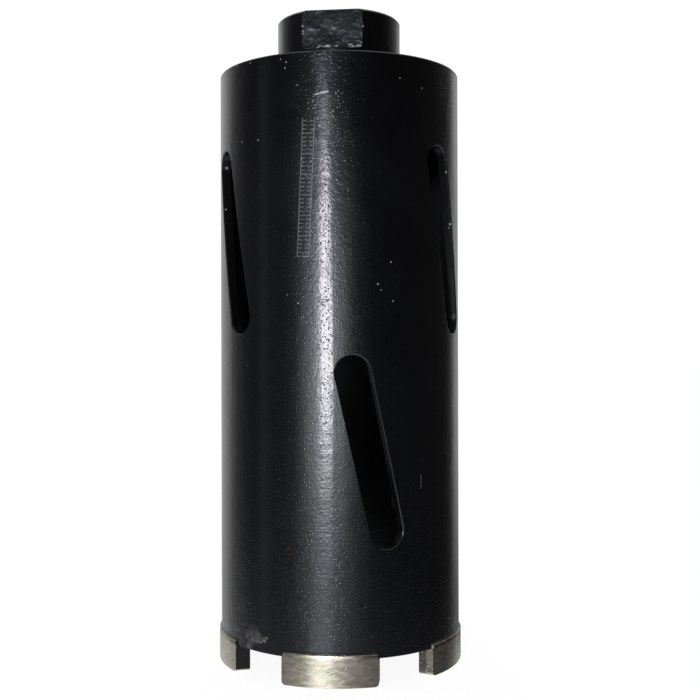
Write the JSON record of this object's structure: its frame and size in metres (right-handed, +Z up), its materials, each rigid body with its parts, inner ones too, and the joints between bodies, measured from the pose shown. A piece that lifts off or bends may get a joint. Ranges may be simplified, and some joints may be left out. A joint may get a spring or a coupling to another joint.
{
  "type": "diamond core bit",
  "caption": "Slotted steel barrel with brazed diamond segments on its lower rim and a welded hub with wrench flats and a female pipe thread.",
  "frame": {"origin": "on the barrel axis, at the cutting plane under the segments", "axes": "+Z up along the barrel axis to the drive hub; -Y is the front, where a segment, a lower slot and a wrench flat show"},
  "size_m": [0.065, 0.0646, 0.17],
  "materials": {
    "black_paint": "satin",
    "diamond_matrix": "ground"
  },
  "bodies": {
    "root": {"core_tube": "black_paint", "end_plate": "black_paint", "plate_weld": "black_paint", "drive_hub": "black_paint", "hub_weld": "black_paint", "segment_1": "diamond_matrix", "segment_2": "diamond_matrix", "segment_3": "diamond_matrix", "segment_4": "diamond_matrix", "segment_5": "diamond_matrix", "segment_braze_1": "black_paint", "segment_braze_2": "black_paint", "segment_braze_3": "black_paint", "segment_braze_4": "black_paint", "segment_braze_5": "black_paint"}
  },
  "joints": []
}
